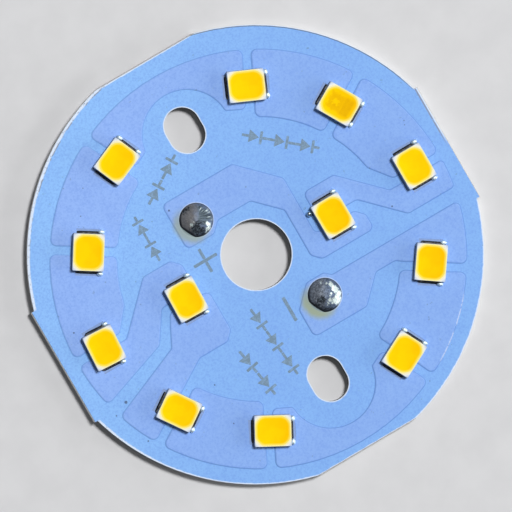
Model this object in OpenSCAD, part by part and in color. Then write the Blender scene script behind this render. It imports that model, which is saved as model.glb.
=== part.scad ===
// Round metal-core LED board.
// A punched aluminium disc carries an insulating layer, thirteen etched copper islands, a pale
// solder mask and twelve LEDs wired as one series string between two tinned wire pads.
// Millimetres, +Z up. The origin lies on the centre hole's axis, on the bare aluminium back.
// Directions on the board: u runs round the board, counter-clockwise, and v runs outwards.

/* [Board] */
// Diameter of the punched disc
board_d = 40; // [39.6:0.1:42]
// Width across the two broken panel edges on X
flat_x = 39.1; // [38.9:0.05:39.4]
// Width across the two broken panel edges on Y
flat_y = 38.9; // [38.7:0.05:39.3]
// Width of the neck that held the disc in its panel, left as an ear at each X edge
ear_w = 11; // [10:0.1:13]
// Thickness of the aluminium
base_t = 1; // [0.8:0.1:2]
// Thickness of the insulating layer
insulation_t = 0.1; // [0.06:0.01:0.15]
// Thickness of the copper
copper_t = 0.035; // [0.02:0.005:0.07]
// Thickness of the solder mask
mask_t = 0.025; // [0.02:0.005:0.035]
// Depth of the V score that was broken at each panel edge
score_depth = 0.33; // [0.2:0.01:0.38]
// Full angle of the V score
score_angle = 30; // [20:5:45]

/* [Holes] */
// Diameter of the centre hole
hole_d = 6.2; // [5:0.1:7]
// Width of each screw slot
slot_w = 3.2; // [3:0.1:3.6]
// Length of each screw slot, end to end
slot_l = 4.1; // [3.8:0.1:4.8]
// Distance between the two slots' centres
slot_spacing = 25; // [24.4:0.1:25.6]
// Diameter kept free of copper for each screw's head
head_d = 7.9; // [7:0.1:8.2]

/* [Layout] */
// How far the etched pattern sits off the punched holes, along Y
pattern_shift = -0.45; // [-0.6:0.05:0.3]
// Radius of the ring of eight LEDs
ring_r = 15; // [14.8:0.05:15.3]
// Radius of the two LEDs on the X axis by the edge
side_r = 15.65; // [15.3:0.05:15.8]
// Radius of the two inner LEDs
inner_r = 7.4; // [7.1:0.05:7.7]
// Angle between neighbouring LEDs of the ring
led_step = 32; // [31:0.25:33]
// Distance from the board's edge across Y to the copper
copper_edge = 1.2; // [1:0.05:1.4]
// How far ring islands reach in from their LEDs
copper_reach = 2.58; // [2.4:0.02:2.7]
// Width of the bare line between two islands under an LED
split_gap = 0.8; // [0.6:0.05:1]
// How far an island shows on an LED's inner side where the slot ring starts
slot_lip = 0.5; // [0.4:0.05:0.6]
// How far an island shows on an LED's inner side where the slot ring ends
end_lip = 0.15; // [0.1:0.05:0.25]
// Length of the corner cut off the islands next to the LEDs on the X axis
cut_l = 1.9; // [1.7:0.05:2.1]
// Rounding of the islands' corners
corner_r = 0.5; // [0.3:0.05:0.6]
// Distance of the wire pads from the Y axis
pad_x = 3.1; // [2.9:0.05:3.3]
// Distance of the wire pads from the X axis
pad_y = 5.8; // [5.6:0.05:6]

/* [Copper runs] */
// Copper round a wire pad, from its middle towards the hole and the side
pad_reach = 1.9; // [1.8:0.05:2]
// Copper behind a wire pad, from its middle away from the hole
pad_back = 2.5; // [2.3:0.05:2.6]
// Width of the plus run above the hole
plus_w = 3.53; // [3.3:0.05:3.7]
// How far the plus pad's wide copper goes on past its middle
plus_step = 0.8; // [0.6:0.05:1]
// Inner edge of the plus run, in from the first LED's middle
plus_in = 3.3; // [3.1:0.05:3.4]
// Outer edge of the plus run, in from the first LED's middle
plus_out = 2.04; // [1.9:0.02:2.2]
// End of the plus run, out from the first LED's middle
plus_end = 2.63; // [2.4:0.05:2.8]
// How far the plus run goes on round past the first LED's middle
plus_low = 2.75; // [2.5:0.05:3]
// Slanted corner of the plus run beside the hole
hole_chamfer = 2.2; // [1.8:0.05:2.4]
// Slanted corner of the plus run on its outer side
run_chamfer = 3.28; // [2.8:0.05:3.5]
// Slanted corners at the ends of the runs
end_chamfer = 0.75; // [0.5:0.05:0.9]
// First link: how far it rises beside the first LED
first_top = 3.03; // [2.8:0.05:3.2]
// First link: its inner edge, in from the LED's middle
first_side = 1.15; // [1.1:0.05:1.3]
// First link: where its upper edge starts to slant, out from the LED's middle
first_upper = 1.9; // [1.7:0.05:2]
// First link: where its lower edge starts to slant, out from the LED's middle
first_lower = 2.6; // [2.4:0.05:2.8]
// First link: its lower edge at the rim, below the X axis
first_low = 3.14; // [3:0.05:3.3]
// Inward link: how far it rises beside the second inner LED
inward_top = 3.72; // [3.5:0.05:3.9]
// Inward link: its inner edge, in from the LED's middle
inward_side = 1.3; // [1.2:0.05:1.4]
// Inward link: where its upper edge starts to slant, out from the LED's middle
inward_upper = 2.15; // [2:0.05:2.3]
// Inward link: where it passes the LED's outer side, out from its middle
inward_lower = 2.1; // [2:0.05:2.2]
// Inward link: its bend, out from the LED's middle
bend_out = 3.9; // [3.8:0.05:4]
// Inward link: its bend, below the X axis
bend_low = 2.1; // [2:0.05:2.2]
// Inward link: its lower edge at the rim, below the X axis
inward_low = 4.3; // [4.1:0.05:4.5]
// Width of the bare channel between the inward and outward links, along Y
channel_w = 0.8; // [0.7:0.05:0.9]
// How much wider that channel is at the rim
channel_flare = 0.65; // [0.5:0.05:0.8]
// Outward link: its inner edge, in from the LED's middle
outward_side = 2.17; // [2:0.05:2.3]
// Outward link: its lower edge beside the LED
outward_low = 4.8; // [4.6:0.05:5]
// Outward link: where its lower edge starts to slant, out from the LED's middle
outward_lower = 1.4; // [1.2:0.05:1.6]
// Minus run: its upper edge below the X axis
minus_top = 4.42; // [4.3:0.02:4.6]
// Minus run: its lower edge below the X axis
minus_low = 6.1; // [6:0.05:6.3]
// How far the minus pad's wide copper goes on past its middle
minus_step = 1.2; // [1:0.05:1.4]
// Minus pad: its side next to the plus pad, from its middle
minus_side = 2.29; // [2.1:0.05:2.4]
// Minus pad: its slanted corner
minus_chamfer = 1.75; // [1.5:0.05:1.9]
// Minus pad: how far its outer edge runs past its middle
minus_run_l = 3; // [2.8:0.05:3.2]

/* [LED package] */
// Length of the housing, round the board
led_l = 3.3; // [3:0.05:3.4]
// Width of the housing, outwards
led_w = 2.8; // [2.6:0.05:3]
// Height of the housing
led_h = 0.7; // [0.6:0.02:0.9]
// Draft of the housing's walls, each side
led_draft = 0.05; // [0.02:0.01:0.07]
// Corner rounding of the housing at its foot
led_r = 0.14; // [0.1:0.01:0.2]
// Length of the light window at the top
window_l = 3; // [2.7:0.05:3.1]
// Width of the light window at the top
window_w = 2.5; // [2.2:0.05:2.6]
// Corner rounding of the light window
window_r = 0.75; // [0.6:0.05:0.9]
// How far the cup's walls come in towards its floor
cup_inset = 0.35; // [0.2:0.05:0.45]
// How far the phosphor lies below the rim
fill_drop = 0.03; // [0.01:0.01:0.06]
// Thickness of the lead plates
lead_t = 0.2; // [0.15:0.01:0.25]
// Width of the lead plates
lead_w = 2.2; // [2:0.05:2.3]
// Width of the lead tab that stands out at each end
tab_w = 1.9; // [1.7:0.05:1.95]
// How far the tabs stand out of the housing
tab_reach = 0.1; // [0.05:0.01:0.15]
// Where the lead plates are split, off the LED's middle
lead_split = -0.2; // [-0.3:0.05:-0.1]
// Width of the split between the lead plates
lead_gap = 0.2; // [0.15:0.05:0.3]
// Length of the die
die_l = 0.7; // [0.5:0.05:0.8]
// Width of the die
die_w = 0.6; // [0.4:0.05:0.8]
// Thickness of the die
die_t = 0.15; // [0.1:0.01:0.18]
// Distance from the die to the split between the plates
die_edge = 0.12; // [0.08:0.01:0.2]
// Thickness of the bond wires
wire_t = 0.03; // [0.02:0.005:0.04]
// Distance of a bond wire's ends from the edges of the die and of the plates
wire_edge = 0.12; // [0.1:0.01:0.14]
// How far a bond wire arches over the die
wire_rise = 0.12; // [0.08:0.01:0.15]

/* [Solder] */
// Height of the solder under the leads
solder_t = 0.05; // [0.04:0.005:0.08]
// How far a solder joint runs out past its tab
joint_reach = 0.22; // [0.15:0.01:0.3]
// Gap between a solder joint and the edge of its mask opening
joint_gap = 0.08; // [0.06:0.01:0.1]
// Width of the mask opening under a lead
pad_w = 2.15; // [2.1:0.05:2.2]
// How far the mask laps over the copper's edge beside an opening
pad_lap = 0.06; // [0.04:0.01:0.1]
// Diameter of the solder domes on the wire pads
dome_d = 3; // [2.6:0.05:3.2]
// Height of the solder domes
dome_h = 0.6; // [0.4:0.05:0.9]
// How far the plus dome set off its pad, along X
plus_off_x = 0.05; // [-0.1:0.05:0.2]
// How far the plus dome set off its pad, along Y
plus_off_y = -0.1; // [-0.2:0.05:0.1]
// How far the minus dome set off its pad, along X
minus_off_x = 0.3; // [0:0.05:0.35]
// How far the minus dome set off its pad, along Y
minus_off_y = 0.2; // [0:0.05:0.25]
// Diameter of the stray solder bead beside the first LED
bead_d = 0.52; // [0.4:0.02:0.6]
// Gap between the bead and the LED's housing
bead_gap = 0.04; // [0.02:0.01:0.06]
// How far along the housing's side the bead lies
bead_u = 1.15; // [0.9:0.05:1.3]

/* [Hidden] */
$fn = 64;
eps = 0.5;

// Heights of the layers, from the bare back upwards
z_insulation = base_t;
z_copper = z_insulation + insulation_t;
z_copper_top = z_copper + copper_t;
z_mask_top = z_copper_top + mask_t;
z_led = z_copper_top + solder_t;

// Limits of the copper
copper_out_r = flat_y / 2 - copper_edge;
copper_in_r = ring_r - copper_reach;
split_anode = lead_split - split_gap / 2;
split_cathode = lead_split + split_gap / 2;

// Ends of a lead, its solder joint and its mask opening, out from the LED's middle
tab_end = led_l / 2 + tab_reach;
joint_end = tab_end + joint_reach;
pad_end = joint_end + joint_gap;

// The cup: depth, slope and radius at its floor
cup_h = led_h - lead_t;
cup_slope = cup_inset / cup_h;
cup_floor_r = window_r - cup_inset;

// Middle of the die, on the cathode plate
die_u = lead_split + lead_gap / 2 + die_edge + die_l / 2;

// LEDs in the order of the current: radius, angle, how far each is turned on its pads, and how far
// it sits off them round the board and outwards
leds = [
    [inner_r, 0, 0.5, 0.04, 0.05],
    [side_r, 0, 0, 0.19, 0.11],
    [ring_r, led_step, -1.9, 0.16, 0.17],
    [ring_r, 2 * led_step, 2.3, 0.07, 0.11],
    [ring_r, 180 - 2 * led_step, -2.7, -0.1, 0.08],
    [ring_r, 180 - led_step, -0.3, -0.11, -0.05],
    [side_r, 180, -3.4, -0.17, -0.06],
    [inner_r, 180, -1.5, -0.2, -0.1],
    [ring_r, 180 + led_step, 2.6, -0.09, -0.08],
    [ring_r, 180 + 2 * led_step, -2.6, 0.06, -0.02],
    [ring_r, 360 - 2 * led_step, 1.2, 0.17, 0.14],
    [ring_r, 360 - led_step, -2.7, 0.18, 0.03]
];
plus_pad = [-pad_x, pad_y];
minus_pad = [pad_x, -pad_y];
plus_solder = plus_pad + [plus_off_x, plus_off_y];
minus_solder = minus_pad + [minus_off_x, minus_off_y];

// Points on the board

// A point beside LED i, u round the board and v outwards from the LED's middle
function at(i, u, v) =
    let (a = leds[i][1], r = leds[i][0] + v)
    [r * cos(a) - u * sin(a), r * sin(a) + u * cos(a)];

// The point where the line at u beside LED i crosses a circle about the board's middle
function on_ring(i, u, r) = at(i, u, sqrt(r * r - u * u) - leds[i][0]);

// A corner with its rounding
function corner(p, r = corner_r) = [p[0], p[1], r];

// Points of an arc about c from p to q, turning dir, that stops short of both corners
function arc(c, p, q, dir, stop = 1.2) =
    let (r = norm(p - c))
    let (a = atan2(p[1] - c[1], p[0] - c[0]))
    let (b = atan2(q[1] - c[1], q[0] - c[0]))
    let (sweep = (dir * (b - a) + 720) % 360)
    let (rest = stop / r * 180 / PI)
    let (n = max(2, ceil(sweep / 5)))
    [for (k = [0 : n])
        let (t = a + dir * (rest + (sweep - 2 * rest) * k / n))
        [c[0] + r * cos(t), c[1] + r * sin(t), 0]];

// One corner turned into the points of its rounding
function unit(p) = p / norm(p);
function round_corner(a, p, b, r) =
    let (da = unit(a - p), db = unit(b - p))
    let (half = acos(max(-1, min(1, da * db))) / 2)
    let (t = min(r / tan(half), 0.45 * norm(a - p), 0.45 * norm(b - p)))
    let (rr = t * tan(half))
    let (c = p + unit(da + db) * rr / sin(half))
    let (s = p + da * t - c, e = p + db * t - c)
    let (turn = atan2(s[0] * e[1] - s[1] * e[0], s * e))
    let (n = max(2, ceil(abs(turn) / 18)))
    abs(turn) < 6
        ? [p]
        : [for (k = [0 : n])
            let (w = turn * k / n)
            [c[0] + s[0] * cos(w) - s[1] * sin(w), c[1] + s[0] * sin(w) + s[1] * cos(w)]];

function xy(p) = [p[0], p[1]];
function rounded(list) =
    let (n = len(list))
    [for (i = [0 : n - 1])
        each list[i][2] == 0
            ? [xy(list[i])]
            : round_corner(xy(list[(i + n - 1) % n]), xy(list[i]), xy(list[(i + 1) % n]), list[i][2])];

// An outline moved outwards by d all round, for counter-clockwise points
function out_normal(a, b) = let (d = unit(b - a)) [d[1], -d[0]];
function grown(pts, d) =
    let (n = len(pts))
    [for (i = [0 : n - 1])
        let (n1 = out_normal(pts[(i + n - 1) % n], pts[i]))
        let (n2 = out_normal(pts[i], pts[(i + 1) % n]))
        pts[i] + d * (n1 + n2) / (1 + n1 * n2)];

// Outlines of the copper islands, counter-clockwise

// Ring island from LED i's cathode round to LED j's anode
function ring_island(i, j) =
    let (ai = on_ring(i, split_cathode, copper_in_r), ao = on_ring(i, split_cathode, copper_out_r))
    let (bi = on_ring(j, split_anode, copper_in_r), bo = on_ring(j, split_anode, copper_out_r))
    concat([corner(ai), corner(ao)], arc([0, 0], ao, bo, 1),
        [corner(bo), corner(bi)], arc([0, 0], bi, ai, -1));

// Ring island whose inner edge follows the free circle round a screw slot
function slot_island(i, j, side) =
    let (c = [0, side * slot_spacing / 2], r = head_d / 2)
    let (ao = on_ring(i, split_cathode, copper_out_r), bo = on_ring(j, split_anode, copper_out_r))
    let (ai = at(i, split_cathode, -led_w / 2 - slot_lip), bi = at(j, split_anode, -led_w / 2 - end_lip))
    let (as = slot_meet(i, ai, c, r, 1), bs = slot_meet(j, bi, c, r, -1))
    concat([corner(ai), corner(ao)], arc([0, 0], ao, bo, 1), [corner(bo), corner(bi), corner(bs, 0.3)],
        arc(c, bs, as, -1, 0.6), [corner(as, 0.3)]);

// Where the inner edge through p, along u of LED i, meets the free circle
function slot_meet(i, p, c, r, dir) =
    let (d = dir * (at(i, 1, 0) - at(i, 0, 0)))
    let (m = (c - p) * d)
    let (h = norm(p + m * d - c))
    p + (m - sqrt(max(0, r * r - h * h))) * d;

// Ring island with its inner corner cut back beside LED i, where it starts
function cut_start_island(i, j) =
    let (ao = on_ring(i, split_cathode, copper_out_r), bo = on_ring(j, split_anode, copper_out_r))
    let (bi = on_ring(j, split_anode, copper_in_r), cut = on_ring(i, split_cathode + cut_l, copper_in_r))
    concat([corner(at(i, split_cathode, -led_w / 2 - slot_lip)), corner(ao)], arc([0, 0], ao, bo, 1),
        [corner(bo), corner(bi)], arc([0, 0], bi, cut, -1), [corner(cut)]);

// Ring island with its inner corner cut back beside LED j, where it ends
function cut_end_island(i, j) =
    let (ao = on_ring(i, split_cathode, copper_out_r), bo = on_ring(j, split_anode, copper_out_r))
    let (ai = on_ring(i, split_cathode, copper_in_r), cut = on_ring(j, split_anode - cut_l, copper_in_r))
    concat([corner(ai), corner(ao)], arc([0, 0], ao, bo, 1),
        [corner(bo), corner(at(j, split_anode, -led_w / 2 - slot_lip)), corner(cut)],
        arc([0, 0], cut, ai, -1));

// From the plus pad round the hole to the first LED
function plus_run() =
    let (x = inner_r - plus_in, x_out = inner_r - plus_out, x_end = inner_r + plus_end)
    let (top = pad_y + pad_back, foot = pad_y - pad_reach, low = top - plus_w)
    let (step = plus_step - pad_x)
    [
        corner([-pad_x - pad_reach, foot]),
        corner([step, foot]),
        corner([step + low - foot, low]),
        corner([x - hole_chamfer, low]),
        corner([x, low - hole_chamfer]),
        corner([x, end_chamfer - plus_low]),
        corner([x + end_chamfer, -plus_low]),
        corner([x_end, -plus_low]),
        corner([x_end, split_anode - end_chamfer]),
        corner([x_end - end_chamfer, split_anode]),
        corner([x_out, split_anode]),
        corner([x_out, top - run_chamfer]),
        corner([x_out - run_chamfer, top]),
        corner([-pad_x - pad_reach, top])
    ];

// From the first LED out to the LED on the +X edge, between two slants at 45 degrees
function first_link() =
    let (e1 = on_ring(1, -first_low, copper_out_r), e2 = on_ring(1, split_anode, copper_out_r))
    let (x = inner_r - first_side, upper = inner_r + first_upper, lower = inner_r + first_lower)
    concat(
        [
            corner([x, split_cathode]),
            corner([lower, split_cathode]),
            corner([lower + split_cathode + first_low, -first_low]),
            corner(e1)
        ],
        arc([0, 0], e1, e2, 1, 0.7),
        [
            corner(e2),
            corner([upper + first_top - split_anode, split_anode]),
            corner([upper, first_top]),
            corner([x, first_top])
        ]);

// From the LED on the -X edge back in to the second inner LED
function inward_link() =
    let (e1 = on_ring(6, split_cathode, copper_out_r), e2 = on_ring(6, inward_low, copper_out_r))
    let (x = inward_side - inner_r, upper = -inner_r - inward_upper)
    concat(
        [corner([upper - inward_top - split_cathode, -split_cathode]), corner(e1)],
        arc([0, 0], e1, e2, 1),
        [
            corner(e2),
            corner(at(7, bend_low, bend_out)),
            corner(at(7, split_anode, inward_lower)),
            corner([x, -split_anode]),
            corner([x, inward_top - end_chamfer]),
            corner([x - end_chamfer, inward_top]),
            corner([upper, inward_top])
        ]);

// From the second inner LED out to the ring again
function outward_link() =
    let (rim = inward_low + channel_w + channel_flare)
    let (e1 = on_ring(6, rim, copper_out_r), e2 = on_ring(8, split_anode, copper_out_r))
    let (x = outward_side - inner_r)
    concat(
        [
            corner(at(7, split_cathode, inward_lower - channel_w / 2)),
            corner(at(7, bend_low - channel_w, bend_out - 2 * channel_w)),
            corner(at(7, bend_low + channel_w, bend_out - channel_w)),
            corner(e1)
        ],
        arc([0, 0], e1, e2, 1),
        [
            corner(e2),
            corner(at(8, split_anode, -led_w / 2 - end_chamfer)),
            corner(at(7, outward_low, outward_lower)),
            corner([x - end_chamfer, -outward_low]),
            corner([x, end_chamfer - outward_low]),
            corner([x, -split_cathode])
        ]);

// From the last LED to the minus pad
function minus_run() =
    let (e1 = on_ring(11, split_cathode, copper_out_r), e2 = on_ring(1, -minus_top, copper_out_r))
    let (x = pad_x - minus_side, top = pad_reach - pad_y, low = -pad_y - pad_back)
    let (step = pad_x + minus_step, end = pad_x + minus_run_l)
    let (neck = at(11, split_cathode, -led_w / 2 - end_chamfer))
    concat(
        [corner(neck), corner(e1)],
        arc([0, 0], e1, e2, 1),
        [
            corner(e2),
            corner([step + minus_top + top, -minus_top]),
            corner([step, top]),
            corner([x + minus_chamfer, top]),
            corner([x, top - minus_chamfer]),
            corner([x, low]),
            corner([end, low]),
            corner([end - minus_low - low, -minus_low]),
            corner([neck[0] - end_chamfer, -minus_low])
        ]);

islands = [for (list = [
    plus_run(),
    first_link(),
    cut_start_island(1, 2),
    ring_island(2, 3),
    slot_island(3, 4, 1),
    ring_island(4, 5),
    cut_end_island(5, 6),
    inward_link(),
    outward_link(),
    ring_island(8, 9),
    slot_island(9, 10, -1),
    ring_island(10, 11),
    minus_run()
]) rounded(list)];

// Shapes that more than one piece uses

// The punched and broken outline of the board
module board_outline() {
    intersection() {
        union() {
            circle(d = board_d, $fn = 180);
            square([flat_x + 2 * eps, ear_w], center = true);
        }
        square([flat_x, flat_y], center = true);
    }
}

// A slot with round ends along Y
module slot_shape() {
    reach = (slot_l - slot_w) / 2;
    square([slot_w, 2 * reach], center = true);
    for (s = [-1, 1])
        translate([0, s * reach])
            circle(d = slot_w);
}

// Everything that is punched through the whole board
module punched_holes() {
    translate([0, 0, -eps])
        linear_extrude(z_mask_top + 2 * eps) {
            circle(d = hole_d);
            for (s = [-1, 1])
                translate([0, s * slot_spacing / 2])
                    slot_shape();
        }
}

// The half of a V score that is left along one broken edge, at height z and facing dir
module score_cut(half, z, dir) {
    slope = tan(score_angle / 2);
    rotate([90, 0, 0])
        linear_extrude(board_d, center = true)
            polygon([
                [half - (score_depth + eps) * slope, z + dir * eps],
                [half, z - dir * score_depth],
                [half + eps, z - dir * score_depth],
                [half + eps, z + dir * eps]
            ]);
}

// Both scores on all four broken edges
module score_cuts() {
    for (turn = [0, 90, 180, 270])
        rotate(turn) {
            half = (turn % 180 == 0 ? flat_x : flat_y) / 2;
            score_cut(half, z_copper + mask_t, 1);
            score_cut(half, 0, -1);
        }
}

// One layer of the board between two heights
module board_layer(z, t) {
    difference() {
        translate([0, 0, z])
            linear_extrude(t)
                board_outline();
        punched_holes();
        score_cuts();
    }
}

// A block with straight sloping walls and cone corners, w by l at its wider end
module sloped_block(w, l, r_low, r_high, h) {
    cx = w / 2 - max(r_low, r_high);
    cy = l / 2 - max(r_low, r_high);
    for (sx = [-1, 1], sy = [-1, 1])
        translate([sx * cx, sy * cy, 0])
            cylinder(r1 = r_low, r2 = r_high, h = h);
    rotate([90, 0, 0])
        linear_extrude(2 * cy, center = true)
            polygon([[-cx - r_low, 0], [cx + r_low, 0], [cx + r_high, h], [-cx - r_high, h]]);
    rotate([90, 0, 90])
        linear_extrude(2 * cx, center = true)
            polygon([[-cy - r_low, 0], [cy + r_low, 0], [cy + r_high, h], [-cy - r_high, h]]);
}

// Puts a piece of LED i in its place: x outwards, y round the board, z up from the leads' foot
module place_led(i) {
    translate([0, pattern_shift, z_led])
        rotate(leds[i][1])
            translate([leds[i][0] + leds[i][4], leds[i][3], 0])
                rotate(leds[i][2])
                    children();
}

// Turns a piece that is drawn at an LED's cathode end to the anode end where side is -1
module to_end(side) {
    mirror([0, side < 0 ? 1 : 0, 0])
        children();
}

// The two lead plates of an LED, each with its tab
module lead_plates() {
    inside = led_l / 2 - 0.3;
    for (side = [-1, 1]) {
        start = lead_split * side + lead_gap / 2;
        to_end(side) {
            translate([-lead_w / 2, start, 0])
                cube([lead_w, inside - start, lead_t]);
            translate([-tab_w / 2, start, 0])
                cube([tab_w, tab_end - start, lead_t]);
        }
    }
}

// The cup that the phosphor fills, from the lead plates up to z
module cup(z) {
    wide = (z - led_h) * cup_slope;
    translate([0, 0, lead_t])
        sloped_block(window_w + 2 * wide, window_l + 2 * wide, cup_floor_r, window_r + wide, z - lead_t);
}

// The die on the cathode plate
module die() {
    translate([-die_w / 2, die_u - die_l / 2, lead_t])
        cube([die_w, die_l, die_t]);
}

// One bond wire, an arch from the die's top at u down to a plate at foot
module bond_wire(u, foot) {
    half = abs(foot - u) / 2;
    outer = half + wire_t / 2;
    inner = half - wire_t / 2;
    steps = [0 : 15 : 180];
    translate([0, (u + foot) / 2, lead_t + die_t])
        rotate([90, 0, foot > u ? 90 : -90])
            linear_extrude(wire_t, center = true)
                polygon(concat(
                    [[outer, -die_t]],
                    [for (w = steps) [outer * cos(w), (wire_rise + wire_t / 2) * sin(w)]],
                    [for (w = steps) [-inner * cos(w), (wire_rise - wire_t / 2) * sin(w)]],
                    [[inner, -die_t]]));
}

// Both bond wires of an LED, to the anode plate and back to the cathode plate
module bond_wires() {
    reach = die_l / 2 - wire_edge;
    bond_wire(die_u - reach, lead_split - lead_gap / 2 - wire_edge);
    bond_wire(die_u + reach, die_u + die_l / 2 + wire_edge);
}

// One solder joint in section, from under the plate to its concave end fillet
module joint_section(start) {
    foot = 0.03;
    climb = lead_t - 0.03;
    polygon(concat(
        [[start, 0], [start, -solder_t], [joint_end, -solder_t]],
        [for (w = [0 : 15 : 90])
            [joint_end - joint_reach * sin(w), climb - (climb + solder_t - foot) * cos(w)]],
        [[tab_end, 0]]));
}

// The pieces

module base_plate() {
    color("silver")
        board_layer(0, base_t);
}

module insulation_layer() {
    color("wheat")
        board_layer(z_insulation, insulation_t);
}

// One etched island, number k in the order of the current
module copper_island(k) {
    color("peru")
        translate([0, pattern_shift, z_copper])
            linear_extrude(copper_t)
                polygon(islands[k]);
}

// The mask runs over bare board and over the copper, with openings for each pad
module solder_mask() {
    color("lightsteelblue")
        difference() {
            union() {
                board_layer(z_copper, mask_t);
                translate([0, pattern_shift, z_copper])
                    for (k = [0 : len(islands) - 1])
                        linear_extrude(copper_t + mask_t)
                            polygon(grown(islands[k], mask_t));
            }
            translate([0, pattern_shift, z_copper]) {
                for (k = [0 : len(islands) - 1])
                    linear_extrude(copper_t)
                        polygon(islands[k]);
                for (p = [plus_solder, minus_solder])
                    translate(p)
                        cylinder(d = dome_d, h = copper_t + mask_t + eps);
                for (i = [0 : len(leds) - 1])
                    rotate(leds[i][1])
                        translate([leds[i][0], 0, 0])
                            pad_openings(leds[i][3], leds[i][4]);
            }
        }
}

// The two openings under the leads of an LED that sits off its place by u and v
module pad_openings(u, v) {
    for (side = [-1, 1]) {
        start = lead_split * side + split_gap / 2 + pad_lap;
        to_end(side)
            translate([v - pad_w / 2, start, 0])
                cube([pad_w, pad_end + side * u - start, copper_t + mask_t + eps]);
    }
}

// A tinned wire pad: solder that fills the mask opening and stands up as a dome
module solder_dome(p) {
    ball_r = (pow(dome_d / 2, 2) + dome_h * dome_h) / (2 * dome_h);
    color("dimgray")
        translate([p[0], p[1] + pattern_shift, z_copper_top]) {
            cylinder(d = dome_d, h = mask_t);
            translate([0, 0, mask_t])
                intersection() {
                    translate([0, 0, dome_h - ball_r])
                        sphere(ball_r);
                    cylinder(d = dome_d + 2 * eps, h = dome_h + eps);
                }
        }
}

module solder_dome_plus() {
    solder_dome(plus_solder);
}

module solder_dome_minus() {
    solder_dome(minus_solder);
}

// A bead of solder that ran out and set on the mask beside the first LED
module solder_bead() {
    spread = 0.85 * bead_d / 2;
    beside = led_w / 2 + bead_gap + bead_d / 2;
    color("dimgray")
        translate([0, pattern_shift, z_copper + mask_t])
            rotate(leds[0][1])
                translate([leds[0][0] + leds[0][4] - beside, leds[0][3] + bead_u, 0])
                    intersection() {
                        translate([0, 0, spread])
                            sphere(d = bead_d);
                        cylinder(d = bead_d + eps, h = bead_d + eps);
                    }
}

// The white housing, moulded round the lead plates
module led_housing(i) {
    color("white")
        place_led(i)
            difference() {
                sloped_block(led_w, led_l, led_r, led_r - led_draft, led_h);
                lead_plates();
                cup(led_h + eps);
            }
}

module led_leads(i) {
    color("gainsboro")
        place_led(i)
            lead_plates();
}

// The yellow filling, cast round the die and its wires
module led_phosphor(i) {
    color("gold")
        place_led(i)
            difference() {
                cup(led_h - fill_drop);
                die();
                bond_wires();
            }
}

module led_dies() {
    color("steelblue")
        for (i = [0 : len(leds) - 1])
            place_led(i)
                die();
}

module led_bond_wires() {
    color("goldenrod")
        for (i = [0 : len(leds) - 1])
            place_led(i)
                bond_wires();
}

// Each joint starts at its own pad, wherever the LED sits over it
module led_solder_joints() {
    color("gray")
        for (i = [0 : len(leds) - 1], side = [-1, 1]) {
            start = lead_split * side + split_gap / 2 + pad_lap + joint_gap - side * leds[i][3];
            place_led(i)
                to_end(side)
                    rotate([90, 0, 90])
                        linear_extrude(tab_w, center = true)
                            joint_section(start);
        }
}

base_plate();
insulation_layer();
solder_mask();
copper_island(0);  // copper_plus_run
for (k = [1 : 11])
    copper_island(k);
copper_island(12);  // copper_minus_run
solder_dome_plus();
solder_dome_minus();
solder_bead();
led_solder_joints();
led_dies();
led_bond_wires();
for (i = [0 : 11]) {
    led_housing(i);
    led_leads(i);
    led_phosphor(i);
}
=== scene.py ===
# Looks of the round LED board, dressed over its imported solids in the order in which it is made.
# Shapes are drawn in millimetres, and each is brought to metres when it becomes a piece.
import math

import bmesh
import bpy
from mathutils import Matrix, Vector, noise


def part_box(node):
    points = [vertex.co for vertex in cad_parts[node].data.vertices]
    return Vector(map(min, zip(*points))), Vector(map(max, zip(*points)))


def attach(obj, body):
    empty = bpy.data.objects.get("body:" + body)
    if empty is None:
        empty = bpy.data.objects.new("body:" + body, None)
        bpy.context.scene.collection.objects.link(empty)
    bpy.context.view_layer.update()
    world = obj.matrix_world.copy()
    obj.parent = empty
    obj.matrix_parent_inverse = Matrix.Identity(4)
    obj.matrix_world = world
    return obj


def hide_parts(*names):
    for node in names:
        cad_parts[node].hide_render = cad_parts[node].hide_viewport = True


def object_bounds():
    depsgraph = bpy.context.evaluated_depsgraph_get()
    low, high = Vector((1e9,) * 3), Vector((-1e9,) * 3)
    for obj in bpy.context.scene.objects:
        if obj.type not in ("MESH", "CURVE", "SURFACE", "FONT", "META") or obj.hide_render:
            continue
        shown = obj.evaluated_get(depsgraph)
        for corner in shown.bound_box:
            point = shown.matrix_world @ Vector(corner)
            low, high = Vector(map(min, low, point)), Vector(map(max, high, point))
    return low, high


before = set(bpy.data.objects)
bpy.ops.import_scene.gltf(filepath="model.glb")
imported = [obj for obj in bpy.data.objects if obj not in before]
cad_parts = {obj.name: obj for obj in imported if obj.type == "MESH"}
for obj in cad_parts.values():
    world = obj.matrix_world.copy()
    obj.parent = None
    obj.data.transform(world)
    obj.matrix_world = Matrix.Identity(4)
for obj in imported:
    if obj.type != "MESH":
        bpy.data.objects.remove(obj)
solid_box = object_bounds()

# Base plate.
# A disc of rolled aluminium sheet, punched to shape with its hole and slots, then snapped out of its panel
# along scored lines. It stays bare on the back, where it passes its heat on, and its lower edges are a little
# rolled over.

MM = 0.001
WELD = 0.0005
EDGE_ROLL = 0.05
FLAT_X, FLAT_Y = (reach / MM for reach in solid_box[1][:2])
HOLE_R = 3.1
SLOT_R = 1.6
SLOT_HALF = 0.45
SLOT_OUT = 12.5
ALUMINIUM = (0.76, 0.77, 0.78, 1)
ALUMINIUM_BRIGHT = (0.90, 0.90, 0.91, 1)
ALUMINIUM_TORN = (0.50, 0.50, 0.51, 1)
BORE_SHADE = (0.07, 0.07, 0.075, 1)
BORE_SMEARS_IN_SHADE = (0.30, 0.30, 0.31, 1)


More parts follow.
